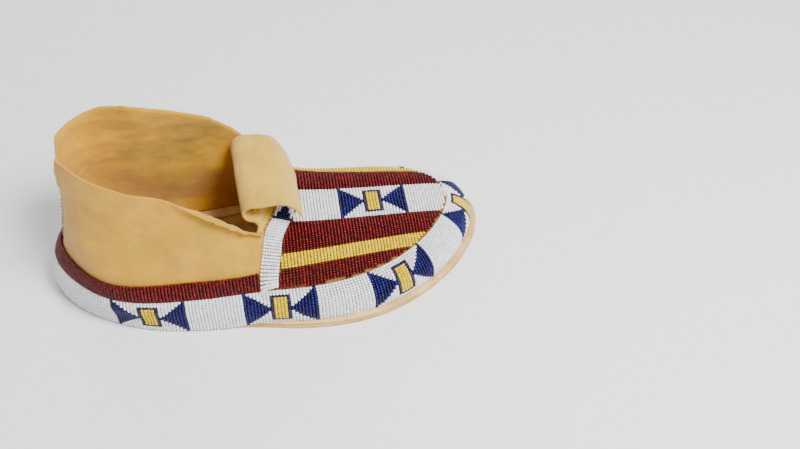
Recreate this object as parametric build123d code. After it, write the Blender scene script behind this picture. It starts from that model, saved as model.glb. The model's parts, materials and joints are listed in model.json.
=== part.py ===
"""A right-foot beaded hard-sole moccasin: rawhide sole, soft leather upper with two ankle flaps,
a folded tongue, and lanes of glass seed beads. X runs from heel to toe, Y to the medial side, Z up.
The origin is on the ground, at the middle of the sole's length and width. Sizes are in millimetres."""

import os
from math import hypot

from build123d import *

# Overall sizes
sole_length = 267.0
sole_width = 118.0
collar_height = 107.0  # ground to the tips of the ankle flaps

# Thicknesses and gaps
sole_thickness = 3.0
sole_edge_radius = 0.8
welt_thickness = 1.6
welt_setback = 0.7  # welt edge inside the sole edge
welt_width = 9.0
leather = 1.6
bead_layer = 1.9  # one layer of size 11 seed beads
bead_gap = 0.1  # thread between beads and leather
lane_gap = 0.3  # between neighbouring lanes and pieces
joint_gap = 0.5  # between pieces on different bodies
smallest_solid = 1.0  # cubic millimetres: a cut's leftovers below this are dropped

# Bead lanes
border_lane_height = 19.0
quarter_lane_height = 10.0
motif_spaces = 8  # equal spaces round the lane: a motif in each, but none at the heel
toe_share = 0.51  # toe motif, as a share of the way round from the heel
motif_length = 43.0
throat_band_width = 10.5
throat_margin = 2.5  # bare leather behind the band, for the tongue seam
centre_lane_width = 24.0
inner_lane_widths = (21.0, 13.5)  # at the throat and at the toe
yellow_lane_width = 8.0
motif_cut_width = 36.0  # across the border lane
centre_motif_share = 0.749  # centre motif, as a share of the length from the heel
centre_slope = 0.2  # the centre line runs to the medial side towards the toe
centre_toe_share = 0.17  # and ends at this share of the width

# Throat, collar and heel: heights are shares of the collar's height
throat_share = 0.4832  # sides of the throat line, as a share of the length from the heel
throat_depth = 9.0  # the throat line's middle is this much nearer the toe
throat_edge_share = 0.5234
bend_heel_share = 0.617  # the ankle flaps bend along a line from here
bend_throat_share = 0.486  # down to here
flap_front_gap = 9.0  # ankle flaps end this far behind the throat line
notch_half_width = 11.0  # at the flap tips
seam_share = 0.051  # heel seam, to the medial side of the middle, as a share of the width
heel_stitch_pitch = 3.4
tongue_stitch_pitch = 4.6
stitch_width = 0.9
stitch_height = 0.7
stitch_reach = 2.2
stitch_lift = 0.05  # between thread and leather

# Tongue: heights are shares of the collar's height
tongue_width_share = 0.5085  # of the sole's width
tongue_offset_share = 0.038  # its middle, to the medial side of the middle
tongue_seam_share = 0.5355
tongue_rear_share = 0.5654
tongue_tip_share = 0.5327
roll_share = 0.6495
rear_behind_throat = 9.0
roll_behind_throat = 7.5
tip_ahead_of_throat = 22.0
roll_radius = 7.0
roll_sweep = 130.0  # degrees, from the top and backwards
base_start = (-1.0, 0.1)  # directions in X and Z, going backwards from the seam
base_end = (-1.0, 0.5)
tip_direction = (0.5, -1.0)

base_height = sole_thickness + welt_thickness
heel_x = -sole_length / 2
toe_x = sole_length / 2
throat_x = heel_x + throat_share * sole_length
throat_from_heel = throat_x - heel_x
throat_edge_height = throat_edge_share * collar_height
bend_height_heel = bend_heel_share * collar_height
lane_top = base_height + border_lane_height
seam_y = seam_share * sole_width
tongue_y = tongue_offset_share * sole_width
tongue_width = tongue_width_share * sole_width
far = 2 * sole_length  # longer than anything that it cuts
clear = 1.0  # how far a cutting shape reaches past a piece's edge

# Plan outline, counter-clockwise from the heel: shares of the length from the heel, and of the
# width from the middle line, medial side positive; then how much of a level's swell about the
# heel and of its slope off the medial forefoot each point takes
OUTLINE = [
    (0.000, 0.065, 0.0, 0.0), (0.060, -0.190, -0.6, 0.0), (0.130, -0.305, -1.0, 0.0),
    (0.200, -0.378, -0.9, 0.0), (0.430, -0.460, -0.2, 0.0), (0.667, -0.500, 0.0, 0.0),
    (0.860, -0.320, 0.0, 0.0), (0.970, -0.035, 0.0, 0.0), (1.000, 0.170, 0.0, -0.3),
    (0.960, 0.395, 0.0, -0.75), (0.820, 0.493, 0.0, -1.0), (0.573, 0.496, 0.0, -0.5),
    (0.300, 0.420, 0.4, 0.0), (0.080, 0.335, 0.5, 0.0),
]  # fmt: skip

# Levels of the upper's outer face: share of the height from base to collar, the heel as a share
# of the length, the front as a share of the way from the throat to the toe, the width, the shift
# to the medial side, the swell and the slope as shares of the sole's width, and how far an
# offset of the face also lifts the level
LEVELS = [
    (0.000, 0.013, 0.9536, 0.925, 0.000, 0.012, 0.000, 0.0),
    (0.070, 0.008, 0.9458, 0.945, 0.000, 0.026, 0.000, 0.0),
    (0.130, 0.011, 0.9071, 0.925, 0.000, 0.038, 0.010, 0.1),
    (0.190, 0.019, 0.8259, 0.885, 0.000, 0.044, 0.025, 0.3),
    (0.245, 0.030, 0.6711, 0.845, 0.000, 0.052, 0.045, 0.5),
    (0.297, 0.041, 0.5066, 0.810, 0.000, 0.055, 0.065, 0.6),
    (0.350, 0.046, 0.3460, 0.780, 0.003, 0.050, 0.080, 0.8),
    (0.410, 0.050, 0.1970, 0.750, 0.006, 0.040, 0.070, 0.9),
    (0.480, 0.056, 0.0828, 0.725, 0.010, 0.028, 0.035, 1.0),
    (0.560, 0.060, 0.0828, 0.700, 0.018, 0.016, 0.010, 1.0),
    (0.670, 0.063, 0.1002, 0.665, 0.025, 0.006, 0.000, 1.0),
    (0.800, 0.067, 0.1157, 0.635, 0.030, 0.000, 0.000, 1.0),
    (1.080, 0.077, 0.1293, 0.600, 0.035, 0.000, 0.000, 1.0),
]

# Throat line in plan: distance to the side of the tongue's middle as a share of the sole's
# width, and how much of the throat depth the line is forward there
THROAT = [(2.0, -0.80), (0.483, -0.80), (0.364, -0.45), (0.263, -0.15), (0.144, 0.55)]

# Collar's top edge seen from the side: shares of the way from the heel to the throat, and of
# the collar's height
COLLAR_EDGE = [
    (0.00, 0.930), (0.16, 1.000), (0.27, 0.985), (0.40, 0.935),
    (0.56, 0.865), (0.72, 0.775), (0.87, 0.650), (1.00, 0.480),
]  # fmt: skip


def ring(height=0.0, heel=0.0, front=1.0, width=1.0, shift=0.0, swell=0.0, slope=0.0, offset=0.0):
    """The plan outline at one height, shaped by a level's values, then offset."""
    points = [
        (
            heel_x + (heel + (front - heel) * along) * sole_length,
            (shift + width * across + swell * swells + slope * slopes) * sole_width,
        )
        for along, across, swells, slopes in OUTLINE
    ]
    moved = []
    for i, (x, y) in enumerate(points):
        before, after = points[i - 1], points[(i + 1) % len(points)]
        dx, dy = after[0] - before[0], after[1] - before[1]
        step = offset / hypot(dx, dy)
        moved.append((x + dy * step, y - dx * step, height))
    return Spline(*moved, periodic=True)


def flat_ring(offset):
    """The sole's outline as a face on the ground, offset by that much."""
    return make_face(ring(offset=offset))


def upper_block(offset):
    """Everything inside the upper's outer face, after that face is offset."""
    rise = collar_height - base_height
    rings = []
    for share, heel, ahead, *shape, lift in LEVELS:
        height = base_height + share * rise + lift * offset
        front = throat_share + ahead * (1 - throat_share)
        rings.append(Wire([ring(height, heel, front, *shape, offset=offset)]))
    return Solid.make_loft(rings, ruled=True)


def slab(low_x=-far, high_x=far, low_y=-far, high_y=far, low_z=-far, high_z=far):
    """A box between those limits."""
    size = (high_x - low_x, high_y - low_y, high_z - low_z)
    return Pos(low_x, low_y, low_z) * Box(*size, align=(Align.MIN, Align.MIN, Align.MIN))


def side_cut(points):
    """A prism right across the shoe from a closed outline in X and Z."""
    return extrude(Plane.XZ * make_face(Polyline(*points, close=True)), far, both=True)


def plan_cut(points):
    """A tall prism from a closed outline in X and Y."""
    return extrude(make_face(Polyline(*points, close=True)), far, both=True)


def solids_of(shape):
    """The shape's solids as one compound, without slivers."""
    return Compound(children=[s for s in shape.solids() if s.volume > smallest_solid])


def sheet(line, thickness):
    """The tongue's width of leather along a line in X and Z."""
    strip = Plane.XZ * trace(line, thickness)
    return Pos(0, tongue_y, 0) * extrude(strip, tongue_width / 2, dir=(0, 1, 0), both=True)


# Shells that the upper and the beads are cut from
inner_block = upper_block(-leather)
outer_block = upper_block(0.0)
leather_shell = outer_block - inner_block
bead_shell = upper_block(bead_gap + bead_layer) - upper_block(bead_gap)
stitch_shell = upper_block(stitch_height) - upper_block(stitch_lift)

# Cutting lines
throat_sides = [(throat_x + ahead * throat_depth, aside * sole_width) for aside, ahead in THROAT]
throat_curve = [(x, tongue_y - aside) for x, aside in throat_sides]
throat_curve.append((throat_x + throat_depth, tongue_y))
throat_curve += [(x, tongue_y + aside) for x, aside in throat_sides[::-1]]


def ahead_of_throat(distance):
    """Everything nearer the toe than the throat line moved forward by that distance."""
    line = [(x + distance, y) for x, y in throat_curve]
    return plan_cut(line + [(far, line[-1][1]), (far, line[0][1])])


rear_x = heel_x - far
bend_rear = (heel_x, bend_height_heel)
bend_front = (throat_x, bend_throat_share * collar_height)
bend_slope = (bend_front[1] - bend_rear[1]) / (bend_front[0] - bend_rear[0])


def bend_height(x):
    """Height of the ankle flaps' bend line at one x."""
    return bend_rear[1] + bend_slope * (x - bend_rear[0])


def above_bend(raised):
    """Everything above the bend line raised by that much, back to front."""
    ends = [(x, bend_height(x) + raised) for x in (rear_x, far)]
    return side_cut(ends + [(far, far), (rear_x, far)])


collar_points = [
    (heel_x + along * throat_from_heel, up * collar_height) for along, up in COLLAR_EDGE
]
collar_line = Spline(*collar_points)
collar_close = Polyline(
    collar_points[-1],
    (collar_points[-1][0], -clear),
    (rear_x, -clear),
    (rear_x, collar_points[0][1]),
    collar_points[0],
)
below_collar = extrude(Plane.XZ * make_face([collar_line, collar_close]), far, both=True)
notch = extrude(
    Plane.YZ
    * make_face(
        Polyline(
            (seam_y, bend_height_heel),
            (seam_y + notch_half_width, collar_height + clear),
            (seam_y - notch_half_width, collar_height + clear),
            close=True,
        )
    ),
    far,
    both=True,
)
lateral = slab(high_y=seam_y - lane_gap / 2)
medial = slab(low_y=seam_y + lane_gap / 2)
parts = {}

# Sole and welt
sole = extrude(flat_ring(0.0), sole_thickness)
parts["outsole"] = fillet(sole.edges(), sole_edge_radius)
welt_ring = flat_ring(-welt_setback) - flat_ring(-welt_setback - welt_width)
parts["welt"] = Pos(0, 0, sole_thickness) * extrude(welt_ring, welt_thickness)

# Leather upper
parts["vamp"] = leather_shell & ahead_of_throat(0.0) & slab(high_z=throat_edge_height)
rear_upper = leather_shell & below_collar
quarters = rear_upper - above_bend(0.0) - ahead_of_throat(-lane_gap)
flaps = (rear_upper & above_bend(joint_gap)) - notch - ahead_of_throat(-flap_front_gap)
for side, half in (("lateral", lateral), ("medial", medial)):
    parts[f"quarter_{side}"] = quarters & half
    parts[f"ankle_flap_{side}"] = flaps & half

# Border lane: ground beads and motif blocks, spaced evenly round the sole
border = bead_shell & slab(high_z=lane_top)
lane_ring = ring(offset=-welt_setback)


def motif_block(share, length):
    """A tall block across the border lane, centred at a share of the way round it."""
    spot = lane_ring @ (share % 1.0)
    along = lane_ring % (share % 1.0)
    place = Plane(origin=(spot.X, spot.Y, 0), x_dir=along, z_dir=(0, 0, 1))
    return place * Pos(0, motif_cut_width / 4, 0) * Box(length, motif_cut_width, far)


heel_motif = motif_spaces // 2
shares = [toe_share + i / motif_spaces for i in range(motif_spaces) if i != heel_motif]
motif_blocks = [border & motif_block(s, motif_length) for s in shares]
ground = border
for s in shares:
    ground = ground - motif_block(s, motif_length + 2 * lane_gap)
parts["border_lane_ground"] = solids_of(ground)
parts["border_lane_motifs"] = Compound(children=[b.solid() for b in motif_blocks])

# Maroon lane above it, on each quarter
quarter_band = bead_shell & slab(low_z=lane_top + lane_gap, high_z=lane_top + quarter_lane_height)
quarter_band = quarter_band - ahead_of_throat(throat_margin - lane_gap)
parts["quarter_lane_lateral"] = quarter_band & lateral
parts["quarter_lane_medial"] = quarter_band & medial

# Band across the throat, and the lanes on the vamp
vamp_beads = bead_shell & slab(low_z=lane_top + lane_gap, high_z=throat_edge_height)
vamp_beads = vamp_beads & ahead_of_throat(throat_margin)
band_front = throat_margin + throat_band_width
vamp_lanes = vamp_beads & ahead_of_throat(band_front)
parts["throat_band"] = vamp_beads - ahead_of_throat(band_front - lane_gap)


def centre_y(x):
    """Middle of the centre lane, which runs slightly to the medial side towards the toe."""
    return centre_toe_share * sole_width + centre_slope * (x - toe_x)


def lane_cut(inner, outer, side):
    """A plan strip beside the centre line: inner and outer distances at the throat and the toe."""
    ends = (throat_x, toe_x)
    near = [(x, centre_y(x) + side * d) for x, d in zip(ends, inner)]
    away = [(x, centre_y(x) + side * d) for x, d in zip(ends, outer)]
    return plan_cut(near + away[::-1])


centre_half = centre_lane_width / 2
centre_edge = (centre_half, centre_half)
inner_start = tuple(d + lane_gap for d in centre_edge)
inner_end = tuple(centre_half + w for w in inner_lane_widths)
yellow_start = tuple(d + lane_gap for d in inner_end)
yellow_end = tuple(d + yellow_lane_width for d in inner_end)
outer_start = tuple(d + lane_gap for d in yellow_end)
outer_end = (far, far)
centre_lane = vamp_lanes & lane_cut((-centre_half, -centre_half), centre_edge, 1)
motif_x = heel_x + centre_motif_share * sole_length
motif_ends = (motif_x - motif_length / 2, motif_x + motif_length / 2)
parts["vamp_lane_centre"] = solids_of(
    centre_lane - slab(low_x=motif_ends[0] - lane_gap, high_x=motif_ends[1] + lane_gap)
)
parts["vamp_lane_centre_motif"] = centre_lane & slab(low_x=motif_ends[0], high_x=motif_ends[1])
for side, sign in (("lateral", -1), ("medial", 1)):
    lanes = (
        ("inner", inner_start, inner_end),
        ("yellow", yellow_start, yellow_end),
        ("outer", outer_start, outer_end),
    )
    for name, start, end in lanes:
        lane = vamp_lanes & lane_cut(start, end, sign)
        parts[f"vamp_lane_{name}_{side}"] = solids_of(lane)

# Tongue: a lower sheet from the throat seam, and a flap that rolls over it and forward
seam_point = (throat_x + throat_depth, tongue_seam_share * collar_height)
rear_point = (throat_x - rear_behind_throat, tongue_rear_share * collar_height)
roll_middle = (throat_x - roll_behind_throat, roll_share * collar_height)
roll_top = (roll_middle[0], roll_middle[1] + roll_radius)
tip_point = (throat_x + tip_ahead_of_throat, tongue_tip_share * collar_height)
base_line = Spline(seam_point, rear_point, tangents=[base_start, base_end])
roll_line = CenterArc(roll_middle, roll_radius, 90, roll_sweep)
flap_line = Spline(roll_top, tip_point, tangents=[(1, 0), tip_direction])
parts["tongue_base"] = sheet(base_line, leather)
parts["tongue_flap"] = sheet(roll_line + flap_line, leather)

# Stitches, cut from a thin skin on the leather
heel_stitch_start = lane_top + quarter_lane_height + heel_stitch_pitch / 2
heel_stitch_count = int((bend_height_heel - heel_stitch_start) / heel_stitch_pitch)
heel_seam = stitch_shell & slab(
    high_x=0,
    low_y=seam_y - stitch_reach,
    high_y=seam_y + stitch_reach,
)
heel_stitches = []
for i in range(heel_stitch_count):
    z = heel_stitch_start + i * heel_stitch_pitch
    heel_stitches.append((heel_seam & slab(low_z=z, high_z=z + stitch_width)).solid())
parts["heel_seam_stitches"] = Compound(children=heel_stitches)

tongue_seam = stitch_shell & ahead_of_throat(0.0) - ahead_of_throat(throat_margin - lane_gap)
tongue_seam = tongue_seam & slab(high_z=throat_edge_height)
tongue_stitch_count = int(tongue_width / tongue_stitch_pitch) + 1
first_stitch_y = tongue_y - (tongue_stitch_count - 1) * tongue_stitch_pitch / 2
tongue_stitches = []
for i in range(tongue_stitch_count):
    y = first_stitch_y + i * tongue_stitch_pitch
    strip = tongue_seam & slab(low_y=y - stitch_width / 2, high_y=y + stitch_width / 2)
    tongue_stitches.extend(strip.solids())
parts["tongue_seam_stitches"] = Compound(children=tongue_stitches)

os.makedirs("parts", exist_ok=True)
for name, shape in parts.items():
    shape.label = name
    export_step(shape, f"parts/{name}.step")
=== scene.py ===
"""Looks of the right-foot beaded moccasin: hide upper, folded tongue and strung glass seed beads.

The upper's surface is one formula: a plan outline that narrows, level by level, as it rises.
Hide, bead lanes, tongue and stitches are all laid on that surface. Sizes are in metres."""

import json
import math

import bpy
import numpy as np
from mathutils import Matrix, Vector, noise
from mathutils.bvhtree import BVHTree


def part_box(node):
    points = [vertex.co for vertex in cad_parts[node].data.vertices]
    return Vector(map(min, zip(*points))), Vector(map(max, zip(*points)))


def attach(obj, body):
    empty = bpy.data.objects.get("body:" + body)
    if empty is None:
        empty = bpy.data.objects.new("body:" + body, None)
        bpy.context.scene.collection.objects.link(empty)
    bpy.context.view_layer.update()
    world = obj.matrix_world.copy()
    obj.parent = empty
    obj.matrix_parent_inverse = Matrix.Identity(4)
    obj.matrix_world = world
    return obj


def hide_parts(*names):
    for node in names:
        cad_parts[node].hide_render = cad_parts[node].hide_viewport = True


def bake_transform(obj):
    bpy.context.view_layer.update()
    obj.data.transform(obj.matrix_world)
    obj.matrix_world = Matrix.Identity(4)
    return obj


MM = 0.001
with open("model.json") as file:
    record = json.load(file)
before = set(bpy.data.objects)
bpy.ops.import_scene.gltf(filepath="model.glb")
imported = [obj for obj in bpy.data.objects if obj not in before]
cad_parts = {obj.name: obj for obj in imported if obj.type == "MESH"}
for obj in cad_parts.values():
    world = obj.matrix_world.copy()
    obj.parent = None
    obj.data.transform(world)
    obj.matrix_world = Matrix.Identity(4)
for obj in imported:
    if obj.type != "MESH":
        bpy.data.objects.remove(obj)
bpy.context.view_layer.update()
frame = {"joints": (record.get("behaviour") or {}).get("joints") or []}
rng = np.random.default_rng(7)

# ---------------------------------------------------------------- places from the frame
sole_low, sole_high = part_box("outsole")
heel_x = sole_low.x
sole_length = sole_high.x - sole_low.x
sole_width = sole_high.y - sole_low.y
base_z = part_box("vamp")[0].z
collar_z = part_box("ankle_flap_lateral")[1].z
THROAT_SHARE = 0.483  # of the sole's length, from the heel
throat_x = heel_x + THROAT_SHARE * sole_length
throat_edge_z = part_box("vamp")[1].z
joints = {j["name"]: j for j in frame["joints"]}

# Plan outline and levels, as in the CAD model: shares of the sole's length and width, then how
# much each outline point takes of a level's swell about the heel and slope off the forefoot
OUTLINE = [
    (0.000, 0.065, 0.0, 0.0), (0.060, -0.190, -0.6, 0.0), (0.130, -0.305, -1.0, 0.0),
    (0.200, -0.378, -0.9, 0.0), (0.430, -0.460, -0.2, 0.0), (0.667, -0.500, 0.0, 0.0),
    (0.860, -0.320, 0.0, 0.0), (0.970, -0.035, 0.0, 0.0), (1.000, 0.170, 0.0, -0.3),
    (0.960, 0.395, 0.0, -0.75), (0.820, 0.493, 0.0, -1.0), (0.573, 0.496, 0.0, -0.5),
    (0.300, 0.420, 0.4, 0.0), (0.080, 0.335, 0.5, 0.0),
]  # fmt: skip
# Height share, heel, front, width, shift to the medial side, swell and slope
LEVELS = np.array([
    (0.000, 0.013, 0.976, 0.925, 0.000, 0.012, 0.000),
    (0.070, 0.008, 0.972, 0.945, 0.000, 0.026, 0.000),
    (0.130, 0.011, 0.952, 0.925, 0.000, 0.038, 0.010),
    (0.190, 0.019, 0.910, 0.885, 0.000, 0.044, 0.025),
    (0.245, 0.030, 0.830, 0.845, 0.000, 0.052, 0.045),
    (0.297, 0.041, 0.745, 0.810, 0.000, 0.055, 0.065),
    (0.350, 0.046, 0.662, 0.780, 0.003, 0.050, 0.080),
    (0.410, 0.050, 0.585, 0.750, 0.006, 0.040, 0.070),
    (0.480, 0.056, 0.526, 0.725, 0.010, 0.028, 0.035),
    (0.560, 0.060, 0.526, 0.700, 0.018, 0.016, 0.010),
    (0.670, 0.063, 0.535, 0.665, 0.025, 0.006, 0.000),
    (0.800, 0.067, 0.543, 0.635, 0.030, 0.000, 0.000),
    (1.080, 0.077, 0.550, 0.600, 0.035, 0.000, 0.000),
])  # fmt: skip
SOLE_INSET = 2.2 * MM  # the sole is drawn in under the bead lane about the heel
LANE_INSET = 1.9 * MM

# Beads
BEAD_LENGTH = 1.5 * MM  # along the thread
ROW_PITCH = 1.94 * MM
BEAD_DIAMETER = 1.9 * MM
BEAD_FILL = 1.02  # a bead's length and diameter against its share of the lane
BEAD_DIAMETERS = (1.35 * MM, 2.1 * MM)  # limits where rows fan out or close up
BEAD_JITTER = 0.04 * MM
LANE_HUMP = 0.55 * MM  # a lane's beads arch up this far in its middle
BORDER_BEADS = 16
MAROON_BEADS = 8
BAND_BEADS = 7
CENTRE_BEADS = 16
YELLOW_WIDTH = 8.6 * MM
INNER_WIDTHS = (21.5 * MM, 14.5 * MM)  # at the throat and at the toe
MOTIF_COUNT = 8  # equal spaces; the one at the heel stays plain
TRIANGLE_ROWS = 8
BOX_ROWS = 6
TOE_SHARE = 0.510  # toe motif, as a share of the way round from the heel

# Leather
LEATHER = 1.5 * MM
NOTCH_Z = 66 * MM
NOTCH_HALF_WIDTH = 12 * MM


# ---------------------------------------------------------------- the upper's surface
def closed_spline(points, samples):
    """A smooth closed curve through points, sampled evenly by length."""
    p = np.array(points, float)
    scaled = p[:, :2] * (sole_length, sole_width)
    n = len(p)
    chord = np.linalg.norm(np.roll(scaled, -1, 0) - scaled, axis=1)
    system = np.zeros((n, n))
    right = np.zeros(p.shape)
    for i in range(n):
        before, after = chord[i - 1], chord[i]
        system[i, i - 1] = after
        system[i, i] = 2 * (before + after)
        system[i, (i + 1) % n] = before
        ahead, behind = p[(i + 1) % n] - p[i], p[i] - p[i - 1]
        right[i] = 3 * (after / before * behind + before / after * ahead)
    slopes = np.linalg.solve(system, right)
    out = []
    t = np.linspace(0, 1, 200, endpoint=False)[:, None]
    for i in range(n):
        a, b, d = p[i], p[(i + 1) % n], chord[i]
        h1, h2 = 2 * t**3 - 3 * t**2 + 1, -2 * t**3 + 3 * t**2
        h3, h4 = t**3 - 2 * t**2 + t, t**3 - t**2
        out.append(h1 * a + h2 * b + h3 * d * slopes[i] + h4 * d * slopes[(i + 1) % n])
    dense = np.vstack(out)
    dense = np.vstack([dense, dense[:1]])
    steps = np.linalg.norm(np.diff(dense[:, :2] * (sole_length, sole_width), axis=0), axis=1)
    run = np.concatenate([[0], np.cumsum(steps)])
    at = np.linspace(0, run[-1], samples + 1)
    return np.stack([np.interp(at, run, dense[:, k]) for k in range(4)], 1)


OUTLINE_SAMPLES = 2880
outline_table = closed_spline(OUTLINE, OUTLINE_SAMPLES)
outline_shares = np.linspace(0, 1, OUTLINE_SAMPLES + 1)
sole_plan = outline_table[:, :2] * (sole_length, sole_width) + (heel_x, 0)
plan_tangent = np.roll(sole_plan[:-1], -1, 0) - np.roll(sole_plan[:-1], 1, 0)
plan_tangent = np.vstack([plan_tangent, plan_tangent[:1]])
plan_tangent /= np.linalg.norm(plan_tangent, axis=1, keepdims=True)
plan_outward = np.stack([plan_tangent[:, 1], -plan_tangent[:, 0]], 1)


def hermite(x, xs, ys):
    """A smooth curve through (xs, ys)."""
    slopes = np.gradient(ys, xs)
    i = np.clip(np.searchsorted(xs, x) - 1, 0, len(xs) - 2)
    d = xs[i + 1] - xs[i]
    t = (x - xs[i]) / d
    h1, h2 = 2 * t**3 - 3 * t**2 + 1, -2 * t**3 + 3 * t**2
    h3, h4 = t**3 - 2 * t**2 + t, t**3 - t**2
    return h1 * ys[i] + h2 * ys[i + 1] + h3 * d * slopes[i] + h4 * d * slopes[i + 1]


def smoothstep(x, low, high):
    t = np.clip((x - low) / (high - low), 0, 1)
    return t * t * (3 - 2 * t)


def surface(u, h):
    """Points of the hide's outer face. u goes once round from the heel, lateral side first;
    h is the share of the height from the welt to the collar."""
    u, h = np.broadcast_arrays(np.asarray(u, float), np.asarray(h, float))
    along, across, swells, slopes, plan_x, plan_y, out_x, out_y = (
        np.interp(u % 1.0, outline_shares, column)
        for column in (*outline_table.T, *sole_plan.T, *plan_outward.T)
    )
    heel, front, width, shift, swell, slope = (
        hermite(h, LEVELS[:, 0], LEVELS[:, k]) for k in range(1, 7)
    )
    x = heel_x + (heel + (front - heel) * along) * sole_length
    y = (shift + width * across + swell * swells + slope * slopes) * sole_width
    hang = (1 - smoothstep(along, 0.36, 0.52)) * (1 - smoothstep(h, 0.02, 0.17))
    x = x + (plan_x - out_x * LANE_INSET - x) * hang
    y = y + (plan_y - out_y * LANE_INSET - y) * hang
    z = base_z + h * (collar_z - base_z)
    return np.stack([x, y, z], -1)


DU = 6e-4
DH = 2e-3


def frames(u, h):
    """Points, unit tangents round and up the surface, and unit outward normals."""
    p = surface(u, h)
    pu = surface(u + DU, h) - surface(u - DU, h)
    ph = surface(u, np.asarray(h) + DH) - surface(u, np.asarray(h) - DH)
    normal = np.cross(pu, ph)
    normal /= np.linalg.norm(normal, axis=-1, keepdims=True)
    round_ = pu / np.linalg.norm(pu, axis=-1, keepdims=True)
    up = np.cross(normal, round_)
    return p, round_, up, normal


def climb(u, h, distance, steps=4):
    """Moves along the surface, square to the level lines, by distance (up if positive)."""
    u, h = np.array(u, float), np.array(h, float)
    step = np.asarray(distance, float) / steps
    for _ in range(steps):
        _, _, up, _ = frames(u, h)
        pu = (surface(u + DU, h) - surface(u - DU, h)) / (2 * DU)
        ph = (surface(u, h + DH) - surface(u, h - DH)) / (2 * DH)
        a, b, c = (pu * pu).sum(-1), (pu * ph).sum(-1), (ph * ph).sum(-1)
        move = up * np.expand_dims(np.broadcast_to(step, u.shape), -1)
        du_, dh_ = (pu * move).sum(-1), (ph * move).sum(-1)
        det = a * c - b * b
        u = u + (c * du_ - b * dh_) / det
        h = h + (a * dh_ - b * du_) / det
    return u, h


# ---------------------------------------------------------------- mesh helpers
def mesh_object(name, verts, faces, material):
    """A smooth-shaded mesh piece with one material."""
    mesh = bpy.data.meshes.new(name)
    mesh.from_pydata([tuple(v) for v in verts], [], faces)
    mesh.polygons.foreach_set("use_smooth", [True] * len(mesh.polygons))
    mesh.materials.append(material)
    mesh.update()
    piece = bpy.data.objects.new(name, mesh)
    bpy.context.scene.collection.objects.link(piece)
    return piece


def sheet_faces(columns, rows, flip):
    """Faces of a sheet with two sides and closed edges. Each side is a grid of vertices, column
    by column, and the second side's vertices follow the first's."""
    count = columns * rows

    def turned(face, turn):
        return face[::-1] if turn else face

    faces = []
    for i in range(columns - 1):
        for j in range(rows - 1):
            a = i * rows + j
            quad = (a, a + rows, a + rows + 1, a + 1)
            faces.append(turned(quad, flip))
            faces.append(turned(tuple(v + count for v in quad), not flip))
    rim = [(i, 0) for i in range(columns)] + [(columns - 1, j) for j in range(1, rows)]
    rim += [(i, rows - 1) for i in range(columns - 2, -1, -1)]
    rim += [(0, j) for j in range(rows - 2, 0, -1)]
    for (a, b), (c, d) in zip(rim, rim[1:] + rim[:1]):
        first, second = a * rows + b, c * rows + d
        faces.append(turned((first, first + count, second + count, second), flip))
    return faces


def bead_template(segments=10):
    """One seed bead about its thread, along X: length 1, diameter 1."""
    profile = [(-0.5, 0.26), (-0.40, 0.42), (0.0, 0.5), (0.40, 0.42), (0.5, 0.26)]
    verts, faces = [], []
    for x, r in profile:
        for k in range(segments):
            a = 2 * math.pi * k / segments
            verts.append((x, r * math.cos(a), r * math.sin(a)))
    for i in range(len(profile) - 1):
        for k in range(segments):
            a, b = i * segments + k, i * segments + (k + 1) % segments
            faces.append((a, a + segments, b + segments, b))
    faces.append(tuple(range(segments)))
    last = (len(profile) - 1) * segments
    faces.append(tuple(range(last + segments - 1, last - 1, -1)))
    return np.array(verts), faces


BEAD_VERTS, BEAD_FACES = bead_template()


def bead_piece(name, centres, threads, normals, lengths, diameters, material):
    """Beads strung along threads, as one mesh. Each bead keeps a random tint of its own."""
    centres, threads, normals = (np.asarray(a, float) for a in (centres, threads, normals))
    count = len(centres)
    threads = threads / np.linalg.norm(threads, axis=1, keepdims=True)
    normals = normals - (normals * threads).sum(1, keepdims=True) * threads
    normals = normals / np.linalg.norm(normals, axis=1, keepdims=True)
    sides = np.cross(threads, normals)
    tilt = rng.normal(0, 0.05, (count, 1))
    threads = threads + tilt * sides
    threads = threads / np.linalg.norm(threads, axis=1, keepdims=True)
    sides = np.cross(threads, normals)
    long = np.broadcast_to(lengths, count) * rng.normal(1.0, 0.045, count)
    wide = np.broadcast_to(diameters, count) * rng.normal(1.0, 0.035, count)
    spin = rng.uniform(0, 2 * math.pi, count)
    local = BEAD_VERTS[None] * np.stack([long, wide, wide], 1)[:, None]
    c, s = np.cos(spin)[:, None], np.sin(spin)[:, None]
    y = local[..., 1] * c - local[..., 2] * s
    z = local[..., 1] * s + local[..., 2] * c
    placed = (
        centres[:, None]
        + local[..., 0:1] * threads[:, None]
        + y[..., None] * sides[:, None]
        + z[..., None] * normals[:, None]
    )
    offsets = np.arange(count) * len(BEAD_VERTS)
    faces = [tuple(v + o for v in f) for o in offsets.tolist() for f in BEAD_FACES]
    piece = mesh_object(name, placed.reshape(-1, 3), faces, material)
    tint = piece.data.attributes.new("tint", "FLOAT", "POINT")
    values = np.repeat(rng.uniform(0, 1, count), len(BEAD_VERTS))
    tint.data.foreach_set("value", values.astype(np.float32))
    return piece


class Beads:
    """Beads collected by piece name, then made into meshes."""

    def __init__(self):
        self.rows = {}

    def add(self, name, centres, threads, normals, diameters=BEAD_DIAMETER, lengths=None):
        centres = np.atleast_2d(centres)
        shape = (len(centres),)
        lengths = BEAD_LENGTH * BEAD_FILL if lengths is None else lengths
        entry = self.rows.setdefault(name, [[], [], [], [], []])
        for store, value in zip(entry[:3], (centres, threads, normals)):
            store.append(np.broadcast_to(value, centres.shape))
        entry[3].append(np.broadcast_to(lengths, shape))
        entry[4].append(np.broadcast_to(diameters, shape))

    def build(self, name, material):
        centres, threads, normals, lengths, diameters = (np.concatenate(a) for a in self.rows[name])
        return bead_piece(name, centres, threads, normals, lengths, diameters, material)


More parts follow.
